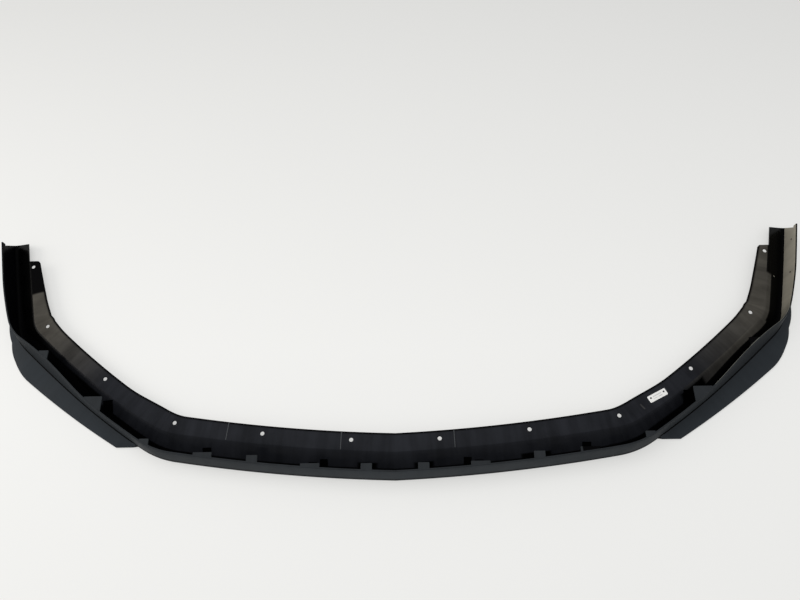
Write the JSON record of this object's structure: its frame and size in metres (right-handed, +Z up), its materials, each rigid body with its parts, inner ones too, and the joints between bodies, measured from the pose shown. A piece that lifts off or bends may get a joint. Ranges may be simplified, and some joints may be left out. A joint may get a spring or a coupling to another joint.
{
  "type": "front splitter lip",
  "caption": "Black moulded front splitter lip for a car bumper, with a screw flange, leaning front wall and two corner blades.",
  "frame": {"origin": "centre of the strip's box, at the level of the flat keel that it rests on", "axes": "+X to the right across the car seen from the front, +Y from the nose to the wheel arches, +Z up"},
  "size_m": [1.7026, 0.5324, 0.049],
  "materials": {
    "moulded_plastic": "black polypropylene, fine grain outside and smooth inside",
    "label_paper": "matt white label paper"
  },
  "bodies": {
    "root": {"lip": "moulded_plastic", "paper_label": "label_paper"}
  },
  "joints": []
}
